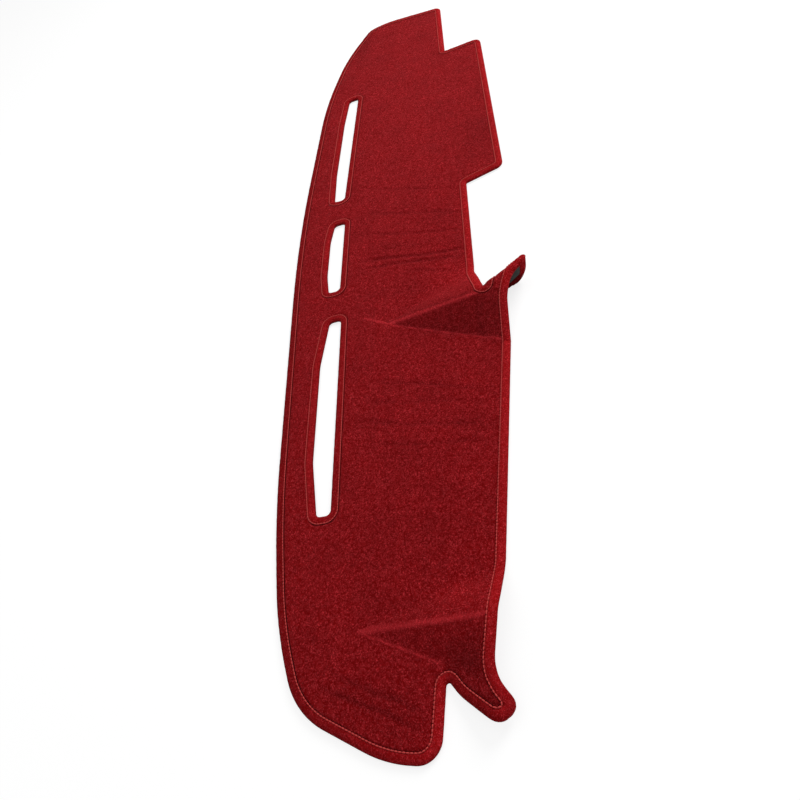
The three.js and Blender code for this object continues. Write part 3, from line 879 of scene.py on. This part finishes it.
def seam_path(points, height):
    middle = surface(points, height)
    normal = surface(points, height + 1.0) - middle
    return middle, normal / np.linalg.norm(normal, axis=1)[:, None]


def make_stitching(name, loops, sizes, material):
    inside = sizes.binding_width / MM - SEAM_INSET
    step = sizes.stitch_length / MM
    paths = [seam_path(evenly(inset(loop, inside), step), SEAM_HEIGHT) for loop in loops]
    vertices, faces = stitch_tubes(paths, sizes.thread_width)
    add_piece(name, vertices, faces, [material])


def sizes_and_colours(context):
    return context.scene.cover_mat_sizes, context.scene.cover_mat_colours


class COVERMAT_OT_carpet(bpy.types.Operator):
    """Builds the velour carpet with its felt backing"""
    bl_idname = "cover_mat.carpet"
    bl_label = "Velour Carpet"

    def execute(self, context):
        make_carpet(*sizes_and_colours(context))
        return {"FINISHED"}


class COVERMAT_OT_bindings(bpy.types.Operator):
    """Builds the folded tapes round the outer edge and the vent slots"""
    bl_idname = "cover_mat.bindings"
    bl_label = "Edge Bindings"

    def execute(self, context):
        sizes, colours = sizes_and_colours(context)
        material = velour("Velour tape, folded", colours.tape, colours.pile_tip,
                          TAPE_SHEEN, colours.pile_tip, TAPE_TUFT)
        loops = edge_loops(sizes.pile_spacing / MM)
        for index, (place, loop) in enumerate(loops.items()):
            name = "edge_tape" if place == "edge" else f"{place}_slot_tape"
            make_binding(name, loop, sizes, material, TAPE_SEED + 3 * index,
                         EDGE_FRONT_LIGHT if place == "edge" else SLOT_FRONT_LIGHT)
        return {"FINISHED"}


class COVERMAT_OT_stitching(bpy.types.Operator):
    """Sews the bindings down"""
    bl_idname = "cover_mat.stitching"
    bl_label = "Stitching"

    def execute(self, context):
        sizes, colours = sizes_and_colours(context)
        thread = twisted_thread(colours.thread)
        loops = list(edge_loops(sizes.pile_spacing / MM).values())
        make_stitching("edge_stitching", loops[:1], sizes, thread)
        make_stitching("slot_stitching", loops[1:], sizes, thread)
        return {"FINISHED"}


AREA_SPACING = 5.0                 # of the points that the flat area is measured from


class COVERMAT_OT_sheet(bpy.types.Operator):
    bl_idname = "cover_mat.sheet"
    bl_label = "Sheet Facts"

    def execute(self, context):
        loops = edge_loops(AREA_SPACING)
        areas = []
        for loop in loops.values():
            x, y = loop[:, 0], loop[:, 1]
            areas.append(abs(x @ np.roll(y, -1) - y @ np.roll(x, -1)) / 2)
        area = (areas[0] - sum(areas[1:])) * MM * MM
        return {"FINISHED"}


# Stage, in metres

FLOOR_SIZE = 12.0
AMBIENT = 0.43
FLOOR_GLOW = 0.78
FLOOR_DROP = 0.0006                # keeps the floor clear of the tape's underside
PAPER_SEEN = 0.32                  # what keeps the shadow where the camera sees the floor
PAPER_UNSEEN = 0.8                 # what the mat gets its light back from
SOFTBOXES = (
    # name, place, size and power
    ("key", (1.55, -1.35, 1.45), 1.3, 38),
    ("top", (0.5, 0.6, 2.4), 2.2, 8),
)


def grey(value):
    return (value, value, value, 1.0)


def make_floor():
    mesh = bpy.data.meshes.new("floor")
    half = FLOOR_SIZE / 2
    mesh.from_pydata([(-half, -half, 0), (half, -half, 0), (half, half, 0), (-half, half, 0)],
                     [], [(0, 1, 2, 3)])
    floor = bpy.data.objects.new("floor", mesh)
    floor.location.z = -FLOOR_DROP
    bpy.context.scene.collection.objects.link(floor)
    material, tree = new_material("White studio paper")
    paper = add_node(tree, "ShaderNodeBsdfDiffuse", {"Color": grey(PAPER_SEEN)},
                     place=(-300, 100))
    glow = add_node(tree, "ShaderNodeEmission", {"Strength": FLOOR_GLOW}, place=(-300, -50))
    both = add_node(tree, "ShaderNodeAddShader", None,
                    {0: paper.outputs[0], 1: glow.outputs[0]}, (-100, 0))
    plain = add_node(tree, "ShaderNodeBsdfDiffuse", {"Color": grey(PAPER_UNSEEN)},
                     place=(-300, -200))
    rays = add_node(tree, "ShaderNodeLightPath", place=(-300, 400))
    seen = add_node(tree, "ShaderNodeMixShader", None, {
        0: rays.outputs["Is Camera Ray"], 1: plain.outputs[0], 2: both.outputs[0]}, (100, 0))
    add_node(tree, "ShaderNodeOutputMaterial", None, {"Surface": seen.outputs[0]}, (300, 0))
    floor.data.materials.append(material)
    floor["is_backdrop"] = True


def make_world():
    world = bpy.data.worlds.new("Studio")
    world.use_nodes = True
    tree = world.node_tree
    tree.nodes.clear()
    rays = add_node(tree, "ShaderNodeLightPath", place=(-600, 200))
    camera_or_gloss = add_node(tree, "ShaderNodeMath", {"operation": "MAXIMUM"}, {
        0: rays.outputs["Is Camera Ray"], 1: rays.outputs["Is Glossy Ray"]}, (-400, 200))
    any_seen = add_node(tree, "ShaderNodeMath", {"operation": "MAXIMUM"}, {
        0: camera_or_gloss.outputs[0], 1: rays.outputs["Is Transmission Ray"]}, (-200, 200))
    strength = add_node(tree, "ShaderNodeMapRange", {"To Min": AMBIENT, "To Max": 1.0},
                        {"Value": any_seen.outputs[0]}, (0, 200))
    back = add_node(tree, "ShaderNodeBackground", {"Color": grey(1.0)},
                    {"Strength": strength.outputs[0]}, (200, 0))
    add_node(tree, "ShaderNodeOutputWorld", None, {"Surface": back.outputs[0]}, (400, 0))
    bpy.context.scene.world = world


def add_softbox(name, place, size, power):
    light = bpy.data.lights.new(name, "AREA")
    light.shape = "DISK"
    light.size = size
    light.energy = power
    lamp = bpy.data.objects.new(name, light)
    lamp.location = place
    lamp.rotation_euler = (-Vector(place)).to_track_quat("-Z", "Y").to_euler()
    bpy.context.scene.collection.objects.link(lamp)


def make_camera():
    data = bpy.data.cameras.new("Camera")
    data.sensor_width = SENSOR_MM
    data.lens = FOCAL_MM
    camera = bpy.data.objects.new("Camera", data)
    turn = (Matrix.Rotation(math.radians(CAMERA_HEADING - 90), 4, "Z")
            @ Matrix.Rotation(math.radians(90 - CAMERA_DOWN), 4, "X")
            @ Matrix.Rotation(math.radians(CAMERA_ROLL), 4, "Z")
            @ Matrix.Rotation(CAMERA_NUDGE[0], 4, "Y")
            @ Matrix.Rotation(CAMERA_NUDGE[1], 4, "X"))
    place = Vector(CAMERA_PLACE) * MM + Vector(MAT_ORIGIN)
    camera.matrix_world = Matrix.Translation(place) @ turn
    bpy.context.scene.collection.objects.link(camera)
    bpy.context.scene.camera = camera


class COVERMAT_OT_stage(bpy.types.Operator):
    """Builds the floor, the lights, the world and the camera"""
    bl_idname = "cover_mat.stage"
    bl_label = "Stage"

    def execute(self, context):
        make_floor()
        make_world()
        for softbox in SOFTBOXES:
            add_softbox(*softbox)
        make_camera()
        context.scene.view_settings.view_transform = "Standard"
        return {"FINISHED"}


OPERATORS = (
    COVERMAT_OT_stage, COVERMAT_OT_carpet, COVERMAT_OT_bindings, COVERMAT_OT_stitching,
    COVERMAT_OT_sheet,
)


class COVERMAT_PT_panel(bpy.types.Panel):
    bl_idname = "COVERMAT_PT_panel"
    bl_label = "Cover Mat"
    bl_space_type = "VIEW_3D"
    bl_region_type = "UI"
    bl_category = "Cover Mat"

    def draw(self, context):
        for group in sizes_and_colours(context):
            for name in group.__annotations__:
                self.layout.prop(group, name)
        for operator in OPERATORS:
            self.layout.operator(operator.bl_idname)


CLASSES = (CoverMatSizes, CoverMatColours, *OPERATORS, COVERMAT_PT_panel)


def register():
    for cls in CLASSES:
        bpy.utils.register_class(cls)
    bpy.types.Scene.cover_mat_sizes = bpy.props.PointerProperty(type=CoverMatSizes)
    bpy.types.Scene.cover_mat_colours = bpy.props.PointerProperty(type=CoverMatColours)


def unregister():
    del bpy.types.Scene.cover_mat_colours
    del bpy.types.Scene.cover_mat_sizes
    for cls in reversed(CLASSES):
        bpy.utils.unregister_class(cls)


def main():
    register()
    bpy.ops.cover_mat.stage()
    bpy.ops.cover_mat.carpet()
    bpy.ops.cover_mat.bindings()
    bpy.ops.cover_mat.stitching()
    bpy.ops.cover_mat.sheet()
    boxes = {"cad": CAD_BOX, "visual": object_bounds()}
    {name: [list(low), list(high)] for name, (low, high) in boxes.items()}


if __name__ == "__main__":
    main()
